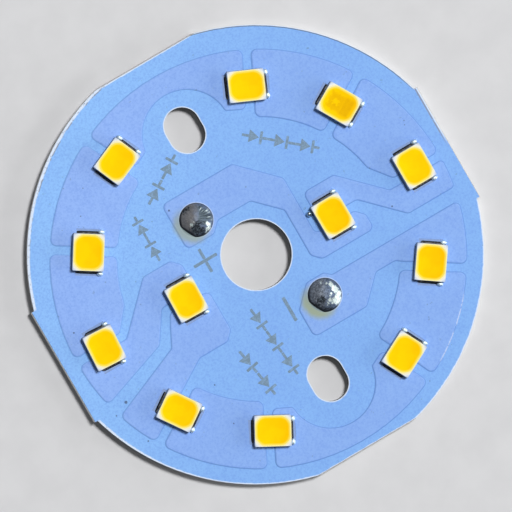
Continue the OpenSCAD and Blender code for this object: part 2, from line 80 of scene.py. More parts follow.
class Shade:
    """One output in a material. Sums on values add Math nodes to the same material."""

    def __init__(self, tree, socket=None):
        self.tree = tree
        self.socket = socket

    def node(self, kind, settings, values, output=0):
        made = self.tree.nodes.new(kind)
        for name, setting in settings.items():
            setattr(made, name, setting)
        for name, value in values.items():
            if isinstance(value, Shade):
                self.tree.links.new(value.socket, made.inputs[name])
            else:
                made.inputs[name].default_value = value
        return Shade(self.tree, made.outputs[output] if made.outputs else None)

    def maths(self, operation, *values):
        return self.node("ShaderNodeMath", {"operation": operation}, dict(enumerate(values)))

    def __add__(self, other):
        return self.maths("ADD", self, other)

    def __sub__(self, other):
        return self.maths("SUBTRACT", self, other)

    def __rsub__(self, other):
        return self.maths("SUBTRACT", other, self)

    def __mul__(self, other):
        return self.maths("MULTIPLY", self, other)

    def __abs__(self):
        return self.maths("ABSOLUTE", self)

    __radd__ = __add__
    __rmul__ = __mul__

    def most(self, other):
        return self.maths("MAXIMUM", self, other)

    def least(self, other):
        return self.maths("MINIMUM", self, other)

    def root(self):
        return self.maths("SQRT", self)

    def ramp(self, low, high):
        """0 below low and 1 above high, or the other way round where low is the greater"""
        return self.node(
            "ShaderNodeMapRange",
            {"interpolation_type": "SMOOTHSTEP"},
            {"Value": self, "From Min": low, "From Max": high},
        )

    def mix(self, first, second):
        """The first colour where this value is 0, the second where it is 1"""
        return self.node(
            "ShaderNodeMix", {"data_type": "RGBA"}, {"Factor": self, 6: first, 7: second}, output=2
        )

    def parts(self):
        return [self.node("ShaderNodeSeparateXYZ", {}, {"Vector": self}, output=k) for k in range(3)]

    def stretched(self, x, y, z):
        return self.node("ShaderNodeVectorMath", {"operation": "MULTIPLY"}, {0: self, 1: (x, y, z)})

    def away_from(self, x, y, z=0.0):
        """This place as seen from a point"""
        return self.node("ShaderNodeVectorMath", {"operation": "SUBTRACT"}, {0: self, 1: (x, y, z)})

    def length(self):
        return self.node("ShaderNodeVectorMath", {"operation": "LENGTH"}, {0: self}, output="Value")

    def cloud(self, scale, detail=2.0, roughness=0.5, distortion=0.0):
        return self.node(
            "ShaderNodeTexNoise",
            {},
            {
                "Vector": self,
                "Scale": scale,
                "Detail": detail,
                "Roughness": roughness,
                "Distortion": distortion,
            },
        )

    def relief(self):
        """A normal from this height in millimetres"""
        return self.node("ShaderNodeBump", {}, {"Height": self, "Distance": MM, "Strength": 1.0})


def finish(name, paint):
    """A material from a function that takes the place on the board in millimetres"""
    material = bpy.data.materials.new(name)
    material.use_nodes = True
    material.node_tree.nodes.clear()
    start = Shade(material.node_tree)
    metres = start.node("ShaderNodeTexCoord", {}, {}, output="Object")
    surface = start.node("ShaderNodeBsdfPrincipled", {}, paint(metres.stretched(1 / MM, 1 / MM, 1 / MM)))
    start.node("ShaderNodeOutputMaterial", {}, {"Surface": surface})
    return material


def copied(node):
    """A solid's mesh in millimetres, with its loose triangles joined"""
    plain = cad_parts[node].data.copy()
    if "custom_normal" in plain.attributes:
        plain.attributes.remove(plain.attributes["custom_normal"])
    shape = bmesh.new()
    shape.from_mesh(plain)
    bpy.data.meshes.remove(plain)
    bmesh.ops.scale(shape, vec=(1 / MM, 1 / MM, 1 / MM), verts=shape.verts)
    bmesh.ops.remove_doubles(shape, verts=shape.verts, dist=WELD)
    for face in shape.faces:
        face.smooth = False
    return shape


def made(name, shape, material):
    """The drawn shape as a piece of the scene, in metres"""
    bmesh.ops.scale(shape, vec=(MM, MM, MM), verts=shape.verts)
    mesh = bpy.data.meshes.new(name)
    shape.to_mesh(mesh)
    shape.free()
    mesh.materials.append(material)
    piece = bpy.data.objects.new(name, mesh)
    bpy.context.scene.collection.objects.link(piece)
    return piece


def creases(shape, degrees):
    return [e for e in shape.edges if len(e.link_faces) == 2 and e.calc_face_angle() > math.radians(degrees)]


def rounded(shape, edges, size):
    bmesh.ops.bevel(
        shape, geom=edges, offset=size, offset_type="OFFSET", segments=2,
        profile=0.5, affect="EDGES", material=-1, clamp_overlap=True,
    )


def slot_gap(place):
    """Distance from the middle line of the nearer screw slot"""
    mirrored = place.node("ShaderNodeVectorMath", {"operation": "ABSOLUTE"}, {0: place})
    x, y = mirrored.away_from(0, SLOT_OUT).parts()[:2]
    past = (abs(y) - SLOT_HALF).most(0.0)
    return (past * past + x * x).root()


def punched_aluminium(place):
    x, y, z = place.parts()
    bore = place.stretched(1, 1, 0).length().ramp(HOLE_R + 1.1, HOLE_R + 0.7)
    bore = bore.most(slot_gap(place).ramp(SLOT_R + 0.8, SLOT_R + 0.4))
    wall = z.ramp(0.02, 0.08)
    rolled = place.stretched(0.2, 7, 1).cloud(1.0, 4)
    scuffs = place.stretched(1.2, 0.06, 1).cloud(3.0, 2).ramp(0.66, 0.72)
    stains = place.cloud(0.16, 3)
    drag = place.stretched(1, 1, 0.05).cloud(7.0, 3)
    crumbs = place.cloud(11.0, 3)
    torn = abs(x).ramp(FLAT_X - 0.05, FLAT_X - 0.01).most(abs(y).ramp(FLAT_Y - 0.05, FLAT_Y - 0.01))
    broken = torn.most((z + 0.5 * drag).ramp(0.95, 0.75)) * wall
    colour = (rolled * 0.6 + stains * 0.6).ramp(0.3, 0.9).mix(ALUMINIUM, ALUMINIUM_BRIGHT)
    colour = (broken * crumbs.ramp(0.35, 0.6)).mix(colour, ALUMINIUM_TORN)
    # The walls of the hole and the slots are painted dark as painted shade, with vertical drag streaks in it
    streaks = (0.75 * drag + 0.25 * crumbs).ramp(0.40, 0.64)
    colour = (0.95 * wall * bore).mix(colour, streaks.mix(BORE_SHADE, BORE_SMEARS_IN_SHADE))
    return {
        "Base Color": colour,
        "Metallic": 1.0,
        "Roughness": 0.24 + 0.16 * rolled + 0.1 * stains + 0.25 * broken - 0.06 * scuffs,
        "Normal": (
            0.004 * rolled * (1 - wall) + 0.012 * drag * wall + 0.03 * crumbs * broken - 0.004 * scuffs
        ).relief(),
    }


plate = copied("base_plate")
rounded(plate, [e for e in creases(plate, 30) if max(v.co.z for v in e.verts) < 0.001], EDGE_ROLL)
base_plate = made("aluminium_base", plate, finish("punched aluminium", punched_aluminium))
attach(base_plate, "root")
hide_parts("base_plate")

# Insulating layer.
# A tenth of a millimetre of resin filled with mineral powder, pressed between the aluminium and the copper.
# It shows only as a pale line along the punched and broken edges.

RESIN = (0.62, 0.60, 0.52, 1)
RESIN_DARK = (0.40, 0.38, 0.32, 1)


def filled_resin(place):
    powder = place.cloud(16.0, 3)
    tears = place.stretched(1, 1, 0.2).cloud(3.0, 3)
    return {
        "Base Color": (0.5 * powder + 0.5 * tears).ramp(0.38, 0.62).mix(RESIN_DARK, RESIN),
        "Roughness": 0.55 + 0.25 * powder,
        "Normal": (0.012 * powder + 0.02 * tears).relief(),
    }


def dress(node, material):
    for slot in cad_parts[node].material_slots:
        slot.material = material


dress("insulation_layer", finish("filled resin", filled_resin))

# Copper islands.
# Foil 0.035 mm thick, etched into thirteen islands that join the LEDs in one string. It lies under the mask
# and comes out only in the pad openings, where the board maker dipped it in tin.

BOARD_TOP = 1.1
COPPER_T = 0.035
COPPER_TOP = BOARD_TOP + COPPER_T
PATTERN_SHIFT = -0.45
PADS = [(-3.05, 5.7 + PATTERN_SHIFT), (3.4, -5.6 + PATTERN_SHIFT)]
DOME_R = 1.5
COPPER = (0.80, 0.42, 0.27, 1)
COPPER_TIN = (0.30, 0.42, 0.68, 1)
FLUX = (0.310, 0.375, 0.285, 1)


def tinned_copper(place):
    z = place.parts()[2]
    film = place.cloud(5.0, 3)
    tin = z.ramp(COPPER_TOP - 0.005, COPPER_TOP - 0.0005) * film.ramp(0.12, 0.24)
    flat = place.stretched(1, 1, 0)
    nearest = flat.away_from(*PADS[0]).length().least(flat.away_from(*PADS[1]).length())
    stained = nearest.ramp(DOME_R + 0.5, DOME_R + 0.1)
    return {
        "Base Color": tin.mix(COPPER, (0.7 * stained).mix(COPPER_TIN, FLUX)),
        "Metallic": 1 - 0.4 * tin,
        "Roughness": 0.66 + 0.24 * film,
        "Normal": (0.006 * film).relief(),
    }


foil = finish("tinned copper foil", tinned_copper)
for island in ["plus_run"] + [f"link_{k}" for k in range(1, 12)] + ["minus_run"]:
    dress(f"copper_{island}", foil)

# Solder mask.
# One coat of pale blue ink, screened over board and copper and cured. It drapes over the copper's edges, thin
# and darker there, and is more violet on copper. It is painted paler towards one side as painted light,
# carries painted shade lines inside the rim and a painted highlight along one copper edge, and the punch and
# the broken scores pressed it white along the edges.

MASK_T = 0.025
MASK_LOW = BOARD_TOP + MASK_T
MASK_HIGH = COPPER_TOP + MASK_T
DRAPE_OUT = 0.055
DRAPE_IN = 0.105
DISC_R = 20
EAR_HALF = 5.5
MASK_BLUE = (0.235, 0.457, 0.872, 1)
MASK_BLUE_PALE = (0.277, 0.531, 0.952, 1)
MASK_ON_COPPER = (0.256, 0.436, 0.851, 1)
MASK_ON_COPPER_PALE = (0.293, 0.471, 0.911, 1)
MASK_THIN = (0.140, 0.288, 0.655, 1)
MASK_GRAIN = (0.125, 0.255, 0.730, 1)
MASK_PRESSED_AND_GLINT = (0.78, 0.86, 0.96, 1)
MASK_CHIPS_AND_SHADE = (0.25, 0.26, 0.31, 1)
DUST_AND_SHADE = (0.06, 0.09, 0.16, 1)

# Sides of the board in degrees, and the place of a painted highlight along one copper edge
PALE_SIDE = 145
BROKEN_SHADE_SIDE = 115
ROLLOVER_SHADE_SIDE = 55
FLUX_SIDE = 206
GLINT_AT = (11.8, -14.4)

# How far the flux ran from each pad, how far it spread, and how strongly it shows
FLUX_POOLS = [(-0.36, -0.10, 1.84, 0.78), (-0.50, -0.16, 1.78, 1.0)]

# Places of the specks, and their sizes
SPECKS = [
    (-16.3, -5.35, 0.17), (-17.6, -5.95, 0.08), (-16.3, -9.25, 0.09), (-9.1, -11.7, 0.08),
    (-8.85, -7.95, 0.08), (12.4, -2.35, 0.10), (-4.7, 7.15, 0.11), (-17.2, 2.15, 0.08),
    (-11.6, 10.6, 0.06), (-12.2, 9.9, 0.05), (-10.2, 12.6, 0.05), (17.05, 3.6, 0.06),
    (16.9, 3.25, 0.05), (16.4, 0.65, 0.06), (16.7, 0.4, 0.05),
]


def toward(x, y, degrees):
    """How far a place lies from the middle towards one side"""
    return math.cos(math.radians(degrees)) * x + math.sin(math.radians(degrees)) * y


def screened_mask(place):
    x, y, z = place.parts()
    flat = place.stretched(1, 1, 0)
    mottle = place.cloud(0.35, 4, 0.6)
    grain = place.cloud(5.6, 4, 0.7)
    ragged = place.cloud(2.2, 3, 0.65)

    # Copper underneath: the coat lies higher there, and thins out on the slope between
    rise = z - MASK_LOW
    high = rise.ramp(0.002, COPPER_T - 0.001)
    slope = rise.ramp(0.0005, 0.008) * rise.ramp(0.030, 0.015)
    # Painted light: the coat is paler towards one side, and its thin lines are lighter there
    painted_light_pale = toward(x, y, PALE_SIDE).ramp(-4.0, 18.0)
    colour = high.mix(painted_light_pale.mix(MASK_BLUE, MASK_BLUE_PALE), painted_light_pale.mix(MASK_ON_COPPER, MASK_ON_COPPER_PALE))
    colour = (slope * (1 - 0.5 * painted_light_pale)).mix(colour, MASK_THIN)
    # Painted highlight: a broken white line on the slope along one copper edge
    glint = rise.ramp(0.002, 0.009) * rise.ramp(0.033, 0.022)
    glint = glint * flat.away_from(*GLINT_AT).length().ramp(3.6, 2.4) * ragged.ramp(0.40, 0.50)
    colour = (0.55 * glint).mix(colour, MASK_PRESSED_AND_GLINT)

    # Soft unevenness of the print, and grain of its pigment
    colour = (0.08 * mottle.ramp(0.60, 0.35) + 0.40 * grain.ramp(0.60, 0.30)).mix(colour, MASK_GRAIN)

    # Edges that the punch and the broken scores pressed white, widest where the punch came through last
    last = toward(x, y, PALE_SIDE).ramp(2.0, 17.0)
    reach = flat.length()
    wobble = 0.16 * ragged - 0.08
    rim = reach + wobble - DISC_R
    neck = abs(y).ramp(EAR_HALF + 0.2, EAR_HALF - 0.1)
    pressed = (rim + 0.13 * last).ramp(-0.14, -0.04) * (1 - neck)
    pressed = pressed.most((abs(x) + 0.4 * wobble - FLAT_X).ramp(-0.09, -0.03))
    pressed = pressed.most((abs(y) + wobble + 0.06 * last - FLAT_Y).ramp(-0.17, -0.09))
    bores = (reach + 0.5 * wobble).ramp(HOLE_R + 0.12, HOLE_R + 0.02)
    bores = bores.most((slot_gap(flat) + 0.5 * wobble).ramp(SLOT_R + 0.12, SLOT_R + 0.02))

    # Line scored beside one ear before the panel was broken, with a white lip outside it
    ear = abs(y).ramp(EAR_HALF + 0.3, EAR_HALF) * y.ramp(-0.5, 1.5) * x.ramp(18.0, 19.0)
    pressed = pressed.most(x.ramp(FLAT_X - 0.22, FLAT_X - 0.15) * ear)
    chipped = last * grain.ramp(0.56, 0.66) * rim.ramp(-0.30, -0.14)
    colour = (0.85 * pressed.most(bores)).mix(colour, chipped.mix(MASK_PRESSED_AND_GLINT, MASK_CHIPS_AND_SHADE))
    scored = abs(x - FLAT_X + 0.26).ramp(0.09, 0.03) * ear
    colour = (0.85 * scored * ragged.ramp(0.30, 0.46)).mix(colour, MASK_CHIPS_AND_SHADE)

    # Painted shade inside the rim: a broken dark line, and a dark line where the rim rolls over
    broken_shade = abs(rim + 0.24).ramp(0.07, 0.03) * toward(x, y, BROKEN_SHADE_SIDE).ramp(15.0, 19.0) * (1 - neck)
    colour = (0.8 * broken_shade * place.cloud(1.7, 2).ramp(0.48, 0.56)).mix(colour, MASK_CHIPS_AND_SHADE)
    rolled = abs(reach + 0.3 * wobble - DISC_R + 0.10).ramp(0.06, 0.03)
    rolled = rolled * toward(x, y, ROLLOVER_SHADE_SIDE).ramp(14.0, 17.0) * (1 - neck)
    colour = (0.75 * rolled).mix(colour, DUST_AND_SHADE)

    # Flux that ran out from under the solder on the wire pads, and the clean line where the solder stopped
    wet = 0.0
    for (px, py), (run_x, run_y, spread, strength) in zip(PADS, FLUX_POOLS):
        pool = flat.away_from(px + run_x, py + run_y)
        far = pool.length() + 0.3 * ragged - 0.15
        fx, fy = pool.parts()[:2]
        drawn = toward(fx, fy, FLUX_SIDE).ramp(-1.2, 1.2)
        wet = far.ramp(spread + 0.22, spread - 0.45) * drawn * strength + wet
        clean = abs(flat.away_from(px, py).length() - DOME_R - 0.03).ramp(0.07, 0.02)
        colour = (0.35 * clean).mix(colour, MASK_PRESSED_AND_GLINT)
    colour = wet.mix(colour, FLUX)

    # Specks of dirt
    dirt = 0.0
    for px, py, size in SPECKS:
        dirt = (flat.away_from(px, py).length() + 0.12 * ragged - 0.06).ramp(size, 0.5 * size) + dirt
    dust = place.cloud(1.9, 1).ramp(0.71, 0.76) * grain.ramp(0.5, 0.6)
    colour = (0.8 * dirt.most(0.5 * dust)).mix(colour, DUST_AND_SHADE)

    return {
        "Base Color": colour,
        "Roughness": 0.48 + 0.16 * mottle - 0.15 * wet + 0.1 * pressed,
        "Specular IOR Level": 0.15,
        "Normal": (0.003 * place.cloud(2.4, 2) + 0.0015 * grain + 0.004 * dirt).relief(),
    }


def is_step(face):
    """Whether a wall of the coat joins its two levels"""
    heights = [vert.co.z for vert in face.verts]
    joins = abs(min(heights) - MASK_LOW) < 0.002 and abs(max(heights) - MASK_HIGH) < 0.002
    return joins and abs(face.normal.z) < 0.1


coat = copied("solder_mask")
steps = {}
for wall in filter(is_step, coat.faces):
    for vert in wall.verts:
        steps.setdefault(vert, []).append(wall.normal.copy())
for vert, walls in steps.items():
    along = sum(walls, Vector()) / len(walls)
    low = vert.co.z < (MASK_LOW + MASK_HIGH) / 2
    vert.co += along / max(0.6, along.length_squared) * (DRAPE_OUT if low else -DRAPE_IN)
solder_mask = made("solder_mask_coat", coat, finish("screened solder mask", screened_mask))
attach(solder_mask, "root")
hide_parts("solder_mask")

# Printed marks.
# Grey legend ink, screened on the mask in one pass: a plus and a minus beside the wire pads, and rows of
# plain diode signs that show which way round the string is wired.

INK_T = 0.012
BAR_SOFT = 0.06
TIP_SOFT = 0.05
PLUS_AT = (-4.12, 2.25 + PATTERN_SHIFT)
PLUS_SPAN = 2.3
PLUS_ARM = 1.0
PLUS_LINE = 0.27
MINUS_AT = (0.13, -5.12 + PATTERN_SHIFT)
MINUS_SPAN = 2.35
MINUS_LINE = 0.3
INK = (0.135, 0.225, 0.320, 1)
INK_WORN = (0.200, 0.345, 0.540, 1)

# Middle of each row of diode signs, its turn in degrees, its number of signs, their pitch and their size
DIODE_ROWS = [
    ((6.78, 7.91), -40, 3, 2.3, 1.15),
    ((-3.87, 10.23), 32, 2, 2.5, 1.2),
    ((-7.57, 6.43), 90, 2, 2.2, 1.1),
    ((-2.47, -6.88), -84, 3, 2.35, 1.15),
    ((-5.10, -8.48), -80, 2, 2.5, 1.2),
]


def legend_ink(place):
    screen = place.cloud(9.0, 2)
    worn = place.cloud(2.6, 4, 0.65)
    return {
        "Base Color": (0.5 * screen + 0.7 * worn).ramp(0.52, 0.78).mix(INK, INK_WORN),
        "Roughness": 0.5 + 0.2 * screen,
        "Normal": (0.004 * screen).relief(),
    }


def heading(degrees):
    return Vector((math.cos(math.radians(degrees)), math.sin(math.radians(degrees)), 0))


def stroke(shape, at, turn, corners, soft):
    """One flat patch of ink with softened corners"""
    move = Matrix.Translation((*at, MASK_LOW)) @ Matrix.Rotation(math.radians(turn), 4, "Z")
    points = [shape.verts.new(move @ Vector((x, y, 0))) for x, y in corners]
    shape.faces.new(points)
    bmesh.ops.bevel(
        shape, geom=points, offset=soft, offset_type="OFFSET", segments=2,
        profile=0.5, affect="VERTICES", material=-1,
    )


def bar(shape, at, turn, length, width):
    x, y = length / 2, width / 2
    stroke(shape, at, turn, [(-x, -y), (x, -y), (x, y), (-x, y)], BAR_SOFT)


def diode(shape, at, turn, size):
    """A diode sign: a lead, a triangle, a bar across its tip and a lead again"""
    turned = Matrix.Rotation(math.radians(turn), 2)

    def beside(x, y):
        return tuple(Vector(at) + turned @ Vector((x, y)) * size)

    bar(shape, beside(-0.72, 0), turn, 0.55 * size, 0.2 * size)
    triangle = [(-0.45 * size, -0.5 * size), (0.32 * size, 0), (-0.45 * size, 0.5 * size)]
    stroke(shape, at, turn, triangle, TIP_SOFT)
    bar(shape, beside(0.48, 0), turn + 90, 1.0 * size, 0.2 * size)
    bar(shape, beside(0.80, 0), turn, 0.42 * size, 0.2 * size)


marks = bmesh.new()
bar(marks, PLUS_AT, 0, PLUS_SPAN, PLUS_LINE)
for side in (1, -1):
    bar(marks, (PLUS_AT[0], PLUS_AT[1] + side * (PLUS_SPAN - PLUS_ARM) / 2), 90, PLUS_ARM, PLUS_LINE)
bar(marks, MINUS_AT, 90, MINUS_SPAN, MINUS_LINE)
for middle, turn, count, pitch, size in DIODE_ROWS:
    for k in range(count):
        spot = Vector((*middle, 0)) + heading(turn) * pitch * (k - (count - 1) / 2)
        diode(marks, (spot.x, spot.y + PATTERN_SHIFT), turn, size)
raised = bmesh.ops.extrude_face_region(marks, geom=marks.faces[:])["geom"]
raised = [part for part in raised if isinstance(part, bmesh.types.BMVert)]
bmesh.ops.translate(marks, verts=raised, vec=(0, 0, INK_T))
bmesh.ops.recalc_face_normals(marks, faces=marks.faces)
printed_marks = made("printed_marks", marks, finish("legend ink", legend_ink))
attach(printed_marks, "root")

# LED leads, dies and bond wires.
# Each package is moulded round two stamped plates with a silver plating. Its colour is near black, painted
# shade for the dark ends where the plates come out, with a mottle in it. A die stands on the larger plate,
# tied down with two gold wires, and both lie hidden under the filling.

LED_COUNT = 12
LEAD_SHADE = (0.06, 0.06, 0.058, 1)
LEAD_DEEP_SHADE = (0.02, 0.02, 0.02, 1)
DIE_DARK = (0.10, 0.16, 0.30, 1)
DIE_PALE = (0.22, 0.32, 0.48, 1)
GOLD = (0.85, 0.58, 0.22, 1)
GOLD_PALE = (0.95, 0.70, 0.32, 1)


def silver_plating(place):
    lead_mottle = place.cloud(4.0, 3)
    rub = place.stretched(1, 1, 6).cloud(6.0, 2)
    # Painted shade: the plating is coloured near black
    return {
        "Base Color": lead_mottle.ramp(0.62, 0.36).mix(LEAD_SHADE, LEAD_DEEP_SHADE),
        "Metallic": 1.0,
        "Roughness": 0.3 + 0.2 * rub,
        "Normal": (0.004 * rub).relief(),
    }


def die_crystal(place):
    growth = place.stretched(1, 1, 12).cloud(5.0, 2)
    return {
        "Base Color": growth.ramp(0.4, 0.6).mix(DIE_DARK, DIE_PALE),
        "Roughness": 0.12 + 0.1 * growth,
    }


def gold_wire(place):
    drawn = place.cloud(30.0, 2)
    return {
        "Base Color": drawn.ramp(0.4, 0.6).mix(GOLD, GOLD_PALE),
        "Metallic": 1.0,
        "Roughness": 0.2 + 0.15 * drawn,
    }


plating = finish("silver plated leads", silver_plating)
for k in range(LED_COUNT):
    dress(f"led_{k + 1}_leads", plating)
dress("led_dies", finish("die crystal", die_crystal))
dress("led_bond_wires", finish("gold bond wire", gold_wire))

# LED housings.
# White resin moulded round the lead plates as a shallow cup, its walls slightly drafted. Its rim takes a
# yellow tint from the filling and its corners are rubbed. Its outer faces are painted grey, partly the dull
# sawn resin and partly painted shade, and near black towards the foot as painted shade.

LED_W, LED_L, LED_H = 2.8, 3.5, 0.7
LED_FOOT = 1.185
LED_TOP = LED_FOOT + LED_H
WINDOW = (2.5, 3.0, 0.75)
YELLOW_CORNER = 0.90
RIM_ROUND = 0.02
MAP_SPAN = 4
HOUSING_WHITE = (0.77, 0.81, 0.87, 1)
HOUSING_YELLOWED = (0.95, 0.80, 0.20, 1)
HOUSING_FILMED = (1.0, 0.72, 0.005, 1)
HOUSING_SIDE_SHADE = (0.58, 0.60, 0.62, 1)
HOUSING_RUBBED = (0.30, 0.40, 0.58, 1)
HOUSING_FOOT_SHADE = (0.10, 0.10, 0.105, 1)

# How far out each LED sits, at which angle, its own turn, and how far it floated aside and out on the paste
LEDS = [
    (7.4, 0, 0.5, 0.04, 0.05), (15.65, 0, 0, 0.19, 0.11), (15, 32, -1.9, 0.16, 0.17),
    (15, 64, 2.3, 0.07, 0.11), (15, 116, -2.7, -0.10, 0.08), (15, 148, -0.3, -0.11, -0.05),
    (15.65, 180, -3.4, -0.17, -0.06), (7.4, 180, -1.5, -0.20, -0.10), (15, 212, 2.6, -0.09, -0.08),
    (15, 244, -2.6, 0.06, -0.02), (15, 296, 1.2, 0.17, 0.14), (15, 328, -2.7, 0.18, 0.03),
]


def led_place(k):
    """From a LED's own middle to the board"""
    radius, angle, turn, aside, out = LEDS[k]
    return (
        Matrix.Translation((0, PATTERN_SHIFT, LED_FOOT))
        @ Matrix.Rotation(math.radians(angle), 4, "Z")
        @ Matrix.Translation((radius + out, aside, 0))
        @ Matrix.Rotation(math.radians(turn), 4, "Z")
    )


def map_window(shape, place):
    """Lays each corner's place on its LED into a UV map"""
    window = shape.loops.layers.uv.new("window")
    back = place.inverted()
    for face in shape.faces:
        for loop in face.loops:
            spot = back @ loop.vert.co
            loop[window].uv = (0.5 + spot.y / MAP_SPAN, 0.5 + spot.x / MAP_SPAN)


def window_inset(place):
    """The place on its LED, and how far it lies inside the edge of the yellow, or below 0 outside it"""
    mapped = place.node("ShaderNodeUVMap", {"uv_map": "window"}, {}).away_from(0.5, 0.5)
    u, v = mapped.stretched(MAP_SPAN, MAP_SPAN, 0).parts()[:2]
    past_u = (abs(u) - (WINDOW[1] / 2 - YELLOW_CORNER)).most(0.0)
    past_v = (abs(v) - (WINDOW[0] / 2 - YELLOW_CORNER)).most(0.0)
    return u, v, YELLOW_CORNER - (past_u * past_u + past_v * past_v).root()


def white_resin(place):
    z = place.parts()[2]
    u, v, inside = window_inset(place)
    dirt = place.cloud(3.0, 4, 0.6)
    saw = place.stretched(1, 1, 0.3).cloud(10.0, 2)
    side = (z + 0.05 * dirt).ramp(LED_TOP + 0.005, LED_TOP - 0.06)
    foot = (z + 0.3 * dirt - 0.15).ramp(LED_FOOT + 0.34, LED_FOOT + 0.02)
    rubbed = (abs(u) + abs(v) + 0.1 * dirt - (LED_W + LED_L) / 2).ramp(-0.65, -0.15)
    colour = (0.7 * rubbed).mix(HOUSING_WHITE, HOUSING_RUBBED)
    colour = (inside + 0.06 * dirt).ramp(-0.29, 0.06).mix(colour, HOUSING_YELLOWED)
    colour = (inside + 0.06 * dirt).ramp(0.02, 0.12).mix(colour, HOUSING_FILMED)
    # Painted shade: the outer faces grey, and near black towards the foot
    return {
        "Base Color": (0.8 * foot).mix((0.95 * side).mix(colour, HOUSING_SIDE_SHADE), HOUSING_FOOT_SHADE),
        "Roughness": 0.42 + 0.2 * saw,
        "Normal": (0.004 * saw + 0.002 * dirt).relief(),
    }


def on_outer_rim(spot):
    """Whether a corner lies on the housing's top and outside its window"""
    past = max(abs(spot.x) - WINDOW[0] / 2, abs(spot.y) - WINDOW[1] / 2)
    return spot.z > LED_H - 0.01 and past > 0.02


resin = finish("white moulding resin", white_resin)
for k in range(LED_COUNT):
    shell = copied(f"led_{k + 1}_housing")
    back = led_place(k).inverted()
    worn = [e for e in creases(shell, 40) if all(on_outer_rim(back @ v.co) for v in e.verts)]
    rounded(shell, worn, RIM_ROUND)
    map_window(shell, led_place(k))
    housing = made(f"led_{k + 1}_shell", shell, resin)
    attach(housing, "root")
    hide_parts(f"led_{k + 1}_housing")

# LED fillings.
# Clear silicone thick with yellow phosphor powder, poured into each cup and cured. It climbs the cup's wall,
# sinks a little towards the middle, and on the third LED is thin enough to show the plates underneath.

CUP_FLOOR = (1.8, 2.3, 0.4)
CUP_FLOOR_Z = 0.2
LIP_LAP = 1.008
LIP_RISE = 0.001
DIE_OFF = 0.34
THIN_LED = 2
PHOSPHOR = (1.0, 0.715, 0.0006, 1)
PHOSPHOR_DEEP = (1.0, 0.540, 0.0005, 1)
PHOSPHOR_THIN = (0.80, 0.42, 0.001, 1)
PHOSPHOR_RIM = (0.96, 0.78, 0.13, 1)

# Rings of the sunk surface: their share of the window, and their depth
SINK = [(0.96, 0.004), (0.88, 0.013), (0.74, 0.022), (0.5, 0.029), (0.2, 0.031)]

# How deep each LED's yellow is, and how much it deepens per millimetre towards one side of the board, a
# painted light gradient across each LED
DEPTHS = [0.685, 0.41, 0.51, 0.41, 0.41, 0.435, 0.41, 0.435, 0.46, 0.485, 0.51, 0.66]
DEEP_LIGHT_SIDE = -30
LIGHT_DEEPENING = 0.19


def window_plate(shape, size, height):
    wide, long, corner = size
    signs = ((-1, -1), (1, -1), (1, 1), (-1, 1))
    points = [shape.verts.new((sx * wide / 2, sy * long / 2, height)) for sx, sy in signs]
    shape.faces.new(points)
    bmesh.ops.bevel(
        shape, geom=points, offset=corner, offset_type="OFFSET", segments=10,
        profile=0.5, affect="VERTICES", material=-1,
    )


def phosphor_silicone(place):
    u, v, inside = window_inset(place)
    deep = place.node("ShaderNodeAttribute", {"attribute_name": "deep"}, {}, output="Fac")
    thin = place.node("ShaderNodeAttribute", {"attribute_name": "thin"}, {}, output="Fac")
    powder = place.cloud(22.0, 2)
    swirl = place.cloud(0.9, 3)
    curd = place.cloud(3.2, 3, 0.6)
    from_die = abs(u - DIE_OFF).most(abs(v)) + 0.9 * curd - 0.45
    ring = from_die.ramp(0.08, 0.40) * from_die.ramp(0.95, 0.50)
    far_plate = (u + 0.3 * curd - 0.15).ramp(-0.14, -0.40) * u.ramp(-1.35, -0.95) * abs(v).ramp(1.05, 0.60)
    seen = thin * (0.8 * ring).most(far_plate) * (0.45 + 1.0 * curd)
    colour = (deep + 0.24 * swirl.ramp(0.35, 0.65) - 0.12).mix(PHOSPHOR, PHOSPHOR_DEEP)
    colour = (0.85 * seen).mix(colour, PHOSPHOR_THIN)
    colour = (0.16 * powder.ramp(0.56, 0.7)).mix(colour, PHOSPHOR_DEEP)
    colour = (inside + 0.05 * swirl).ramp(0.22, 0.03).mix(colour, PHOSPHOR_RIM)
    colour = (inside + 0.05 * swirl).ramp(0.02, -0.07).mix(colour, HOUSING_WHITE)
    return {
        "Base Color": colour,
        "Roughness": 0.46 + 0.14 * powder,
        "Specular IOR Level": 0.015,
        "Normal": (0.002 * powder + 0.004 * swirl).relief(),
    }


